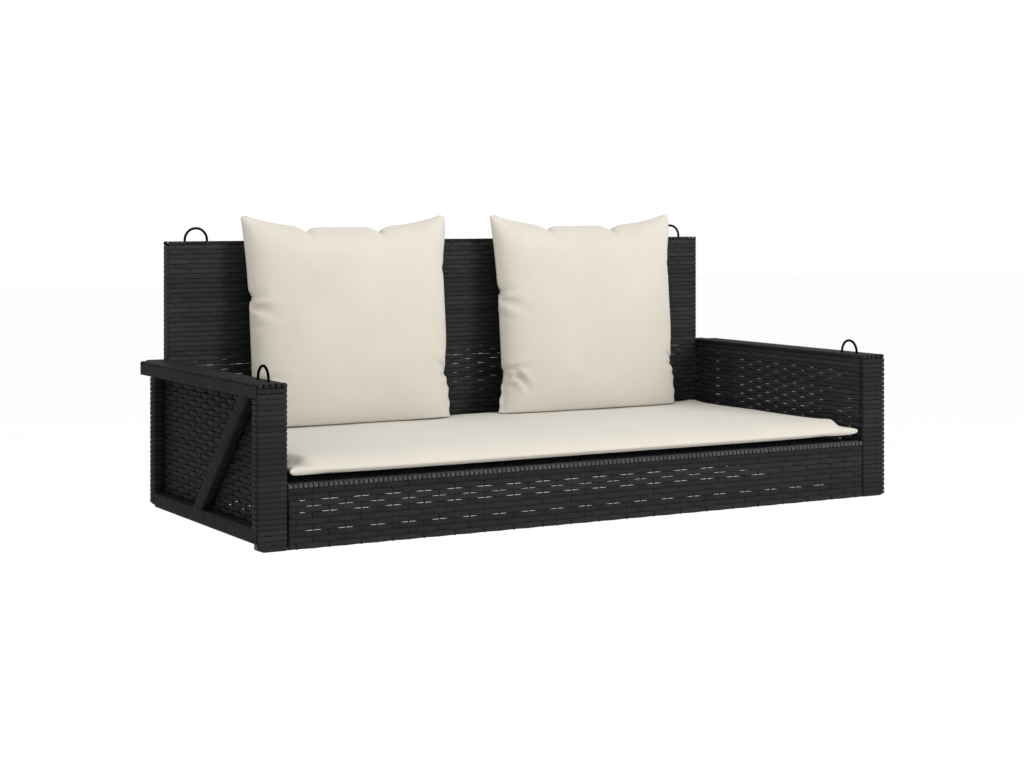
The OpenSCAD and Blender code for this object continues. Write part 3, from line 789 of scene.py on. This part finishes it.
def noise_over(a, b, place):
    """Blender's noise over a grid of points. place turns two coordinates into the noise's three."""
    return np.array([[noise.noise(place(x, y)) for x, y in zip(*line, strict=True)]
                     for line in zip(a, b, strict=True)])


def sewn_cover(name, columns, rows, outline, height):
    """Two sheets sewn along their rim. outline and height take u and v from -1 to 1 across and up."""
    # Closer lines near the rim, where the seam and the wrinkles are
    steep = math.pi / 2 * 0.86
    u, v = (np.sin(np.linspace(-1, 1, n + 1) * steep) / math.sin(steep) for n in (columns, rows))
    u, v = np.meshgrid(u, v)
    flat = outline(u, v)
    rim = np.maximum(np.abs(u), np.abs(v)) > 0.9999
    points, cloth, index = [], [], {}
    for face in (1, -1):
        rise = height(u, v, flat, face)
        for j in range(rows + 1):
            for i in range(columns + 1):
                if rim[j, i] and face < 0:
                    index[face, i, j] = index[1, i, j]
                    continue
                index[face, i, j] = len(points)
                a, b = flat[0][j, i], flat[1][j, i]
                points.append((a, b, rise[j, i]))
                seam_a = flat[0][j, -1 if u[j, i] > 0 else 0]
                seam_b = flat[1][-1 if v[j, i] > 0 else 0, i]
                cloth.append((a, b, min(abs(seam_a - a), abs(seam_b - b))))
    faces = []
    for face in (1, -1):
        for j in range(rows):
            for i in range(columns):
                quad = [index[face, i, j], index[face, i + 1, j],
                        index[face, i + 1, j + 1], index[face, i, j + 1]]
                faces.append(quad if face > 0 else quad[::-1])
    return smooth_piece(name, points, faces, "cloth", np.array(cloth), "cushion_fabric")


def coordinates(piece):
    """Every point of a mesh object, as rows of an array."""
    points = np.empty(len(piece.data.vertices) * 3)
    piece.data.vertices.foreach_get("co", points)
    return points.reshape(-1, 3)


def set_coordinates(piece, points):
    piece.data.vertices.foreach_set("co", np.asarray(points).ravel())
    piece.data.update()


def puff(piece, pressure, frames, cap_flat, cap_out):
    """Inflates a sewn cover with the cloth solver and keeps the result.

    Each point's travel is capped: cap_flat within the cover's plane, cap_out at right angles to it."""
    scene = bpy.context.scene
    before = coordinates(piece)
    cover = piece.modifiers.new("cover", "CLOTH")
    for setting, value in CLOTH.items():
        setattr(cover.settings, setting, value)
    cover.settings.use_pressure = True
    cover.settings.uniform_pressure_force = pressure
    cover.settings.effector_weights.gravity = 0
    cover.point_cache.frame_start = 1
    cover.point_cache.frame_end = frames
    for step in range(1, frames + 1):
        scene.frame_set(step)
    shape = piece.evaluated_get(bpy.context.evaluated_depsgraph_get())
    after = np.empty(before.size)
    shape.data.vertices.foreach_get("co", after)
    piece.modifiers.remove(cover)
    scene.frame_set(1)
    travel = after.reshape(-1, 3) - before
    caps = np.array([cap_flat, cap_flat, cap_out])
    set_coordinates(piece, before + caps * np.tanh(travel / caps))


# Where a back pillow's cover is gathered: (across, up) in mm, direction inwards, length and depth in mm
PINCHES = (
    ((-90, 180), (0.05, -1.0), 9, 4), ((73, 178), (-0.05, -1.0), 9, 4),
    ((-212, 28), (1.0, -0.16), 27, 14), ((-206, 18), (1.0, -0.3), 34, 5),
    ((-212, -122), (1.0, 0.16), 30, 11), ((-206, -134), (0.9, -0.1), 20, 11),
    ((-188, -136), (0.6, -0.8), 24, 11), ((230, 86), (-1.0, 0.05), 14, 3),
    ((216, -108), (-1.0, 0.3), 22, 7), ((214, -124), (-1.0, 0.05), 16, 9),
    ((228, 40), (-1.0, -0.1), 18, 2), ((-212, -14), (1.0, 0.1), 20, 3))
# A pillow's sizes in mm. In the functions below, the numbers beside a and b are in mm too, and those beside
# u and v are shares of half the width or height
PILLOW_FOOT = 236  # from the middle down to the lower seam, before it is pressed flat on the pad
PILLOW_TOP = 190.5  # from the middle up to the upper seam
PILLOW_EARS = 28  # how far the upper corners stand above that
PILLOW_FRONT, PILLOW_REAR = 41, 46  # thickness of the front and rear half
PILLOW_LEAN = 5.6  # degrees


def pillow_outline(u, v):
    """The seam's outline: ears at the corners, two dips in the top edge, notches at the sides."""
    a, b = 227 * u, 213 * (v + 1) - PILLOW_FOOT
    top = (PILLOW_TOP + PILLOW_EARS * np.abs(u) ** 3 - 6 * bump(u, -1, 0.025) - 6 * bump(u, 1, 0.025)
           - 7 * bump(a, -90, 16) - 6 * bump(a, -90, 4) - 8 * bump(a, 73, 16) - 6 * bump(a, 73, 4))
    ripple = 1.5 * np.sin(b / 4.4) * np.clip((-b - 128) / 14, 0, 1)
    right = (229 + 9 * bump(b, 170, 46) - 3 * bump(b, 86, 8) - 7 * bump(b, -112, 36)
             - 7 * bump(b, -124, 6) + ripple)
    left = -(215.5 + 12 * np.clip(b / 200, 0, 1) ** 2 + 12 * np.clip((-b - 151) / 55, 0, 1)
             - 7 * bump(b, 36, 9) - 5 * bump(b, -132, 9) + ripple)
    across = left + (right - left) * (u + 1) / 2
    up = (top + PILLOW_FOOT) * (v + 1) / 2 - PILLOW_FOOT
    return across * MM, up * MM


def gathers(a, b):
    """How deep the gathers are, with the folds of cloth that stand up on both sides of each."""
    depths = []
    for (x, y), (dx, dy), length, depth in PINCHES:
        size = math.hypot(dx, dy)
        along = ((a - x) * dx + (b - y) * dy) / size
        side = ((b - y) * dx - (a - x) * dy) / size
        inwards, outwards = np.clip(along, 0, None), np.clip(-along, 0, None)
        reach = np.exp(-(inwards / length) ** 2) * np.exp(-(outwards / 12) ** 2)
        width = 4.2 + 0.07 * inwards
        groove = np.exp(-(side / width) ** 2)
        folds = np.exp(-((np.abs(side) - 2.3 * width) / (1.2 * width)) ** 2)
        depths.append(depth * reach * (groove - 0.42 * folds))
    return sum(depths)


def pillow_height(seed):
    def height(u, v, flat, face):
        a, b = flat[0] / MM, flat[1] / MM
        # The crown ignores the dips and notches of the outline, so that these stay short
        wide = (np.abs(a - 6) / (223 + 10 * np.clip(b / 200, 0, 1) ** 2)).clip(0, 1)
        tall = np.where(b > 0, b / (PILLOW_TOP + PILLOW_EARS * np.abs(u) ** 3), -b / PILLOW_FOOT).clip(0, 1)
        rim = np.minimum((1 - np.abs(u)) * 222, (1 - np.abs(v)) * 210)
        body = ((1 - wide ** 3.4) * (1 - tall ** np.where(b > 0, 6.5, 6))) ** 0.72
        rounded = np.sqrt(1 - (1 - np.clip(rim / 13, 0, 1)) ** 2)
        rise = (PILLOW_FRONT if face > 0 else PILLOW_REAR) * body * rounded
        rough = noise_over(a, b, lambda x, y: (x * 0.013 + seed, y * 0.013, seed + face))
        fine = noise_over(a, b, lambda x, y: (x * 0.045, y * 0.045 + seed, 9 + seed + face))
        fade = np.clip(rim / 7, 0, 1)
        rise += (1.4 * rough + 1.1 * fine * np.exp(-rim / 40) - gathers(a, b)) * fade
        return face * rise.clip(0.5) * np.clip(rim / 2, 0.02, 1) * MM
    return height


def back_pillow(node, body, seed):
    """A sewn pillow, blown up flat, then leant on the back and rested on the pad."""
    low, high = measured(node)
    lean = math.radians(PILLOW_LEAN)
    piece = sewn_cover(f"{node}_cover", 92, 86, pillow_outline, pillow_height(seed))
    puff(piece, pressure=3.0, frames=16, cap_flat=2 * MM, cap_out=9 * MM)
    p = coordinates(piece)
    p[:, 2] = np.clip(p[:, 2], -52 * MM, 56 * MM)  # caps the pillow's thickness
    up = np.array([0, math.sin(lean), math.cos(lean)])
    front = np.array([0, -math.cos(lean), math.sin(lean)])
    place = (low + high) / 2 * (X + Y) + p[:, :1] * X + p[:, 1:2] * up + p[:, 2:3] * front
    place[:, 2] += (low[2] + high[2]) / 2
    # It rests flat on the back and, above a thin dark line, on the pad
    place[:, 1] = np.minimum(place[:, 1], measured("back_front_weave")[0][1] - 0.8 * MM)
    place[:, 2] = np.maximum(place[:, 2], low[2] + 2.5 * MM)
    set_coordinates(piece, place)
    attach(piece, body)
    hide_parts(node)


# The pad's sizes in mm
PAD_CROWN = 22  # how far its top stands above its seam
PAD_UNDER = 17.5  # how far its underside lies below its seam
PAD_SEAM = 17.7  # height of the seam above the CAD cushion's underside


def pad_reach(u, v):
    """How far the pad's seam is from its middle, sideways and forwards, in mm. The sides pull in."""
    return 618 + 16 * np.abs(v) ** 10, 284 + 5 * np.abs(u) ** 24


def pad_outline(u, v):
    across, up = pad_reach(u, v)
    return u * across * MM, v * up * MM


def pad_height(u, v, flat, face):
    """Crown and underside, with a flat lip along the seam and blunt ears."""
    a, b = flat[0] / MM, flat[1] / MM
    across, up = pad_reach(u, v)
    near_x = (across - np.abs(a)).clip(0)
    near_y = (up - np.abs(b)).clip(0)
    ear = np.exp(-((near_x + near_y) / 57) ** 7)
    blunt = 4 * np.exp(-((near_x + near_y) / 70) ** 4) * (1 - np.exp(-np.minimum(near_x, near_y) / 2))
    lift = 4 * np.exp(-((near_x + near_y) / 90) ** 2)
    if face < 0:
        under = [np.clip((near - start) / 46, 0, 1) for near, start in ((near_x, 30), (near_y, 66))]
        body = np.prod([x * x * (3 - 2 * x) for x in under], axis=0)
        lip = 2.4 * (1 - body) * np.clip(np.minimum(near_x, near_y) / 5, 0, 1)
        return (-PAD_UNDER * body - lip + lift * (1 - body) - blunt) * MM
    slope = [1 - (1 - np.clip(near / reach, 0, 1)) ** 2.4 for near, reach in ((near_x, 40), (near_y, 56))]
    body = slope[0] * slope[1] * (1 - 0.8 * ear)
    rough = noise_over(a, b, lambda x, y: (x * 0.006, y * 0.006, 3.1))
    rough += 0.35 * noise_over(a, b, lambda x, y: (x * 0.03, y * 0.03, 5.7))
    rise = PAD_CROWN * body + 1.6 * rough * body - 4.5 * bump(a, -606, 12) * bump(b, -246, 12)
    return (rise.clip(0.4 * body) + lift + blunt) * MM


def seat_pad():
    """The thin seat pad: flat crown, slopes to a knife-edge seam, ears at the corners."""
    low, high = measured("seat_cushion")
    piece = sewn_cover("seat_cushion_cover", 150, 74, pad_outline, pad_height)
    puff(piece, pressure=1.2, frames=12, cap_flat=1.5 * MM, cap_out=3 * MM)
    p = coordinates(piece)
    p[:, 0] += (low[0] + high[0]) / 2
    p[:, 1] += (low[1] + high[1]) / 2
    p[:, 2] = np.maximum(p[:, 2] + low[2] + PAD_SEAM * MM, low[2])
    set_coordinates(piece, p)
    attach(piece, "seat_pad")
    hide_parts("seat_cushion")


# ---- Studio ----

HANG = 0.85  # how high the swing hangs over the floor
FLOOR_WIDE = 60


def camera():
    """Level camera at the front left, shifted down the way a view camera is. Solved from the photo."""
    data = bpy.data.cameras.new("camera")
    data.lens = 70
    data.sensor_width = 36
    data.shift_y = -0.174
    view = link("camera", data)
    view.location = (-2.022, -3.480, 0.596)
    view.rotation_euler = (math.radians(90), 0, math.radians(-30))
    bpy.context.scene.camera = view


def softbox(name, place, aim, size, power):
    """A rectangular light in watts, turned to its aim."""
    data = bpy.data.lights.new(name, "AREA")
    data.shape = "RECTANGLE"
    data.size, data.size_y = size
    data.energy = power
    light = link(name, data)
    light.location = place
    toward = np.array(aim) - np.array(place)
    yaw = math.atan2(toward[1], toward[0])
    pitch = math.atan2(toward[2], math.hypot(toward[0], toward[1]))
    light.rotation_euler = (math.pi / 2 + pitch, 0, yaw - math.pi / 2)


def studio():
    """Pale floor below the hanging swing, white surroundings and large soft lights."""
    half = FLOOR_WIDE / 2
    mesh = bpy.data.meshes.new("floor")
    mesh.from_pydata([(x, y, -HANG) for x, y in ((-half, -half), (half, -half), (half, half), (-half, half))],
                     [], [(0, 1, 2, 3)])
    mesh.materials.append(floor_material())
    floor = link("floor", mesh)
    world = bpy.data.worlds.new("studio")
    world.use_nodes = True
    background = world.node_tree.nodes["Background"]
    background.inputs["Color"].default_value = (1, 1, 1, 1)
    background.inputs["Strength"].default_value = 1.0
    scene = bpy.context.scene
    scene.world = world
    scene.view_settings.view_transform = "Standard"
    softbox("key", place=(1.8, -4.2, 1.3), aim=(0, 0, 0.2), size=(1.8, 1.8), power=150)
    softbox("top", place=(-0.3, -0.8, 2.0), aim=(0.1, 0.1, 0.2), size=(1.4, 1.0), power=10)


camera()
studio()
finish_cad_nodes()
Arm("left", 100).build()
Arm("right", 200).build()
apron()
seat_deck()
back_panel()
seat_pad()
back_pillow("left_back_pillow", "left_pillow", 1)
back_pillow("right_back_pillow", "right_pillow", 2)
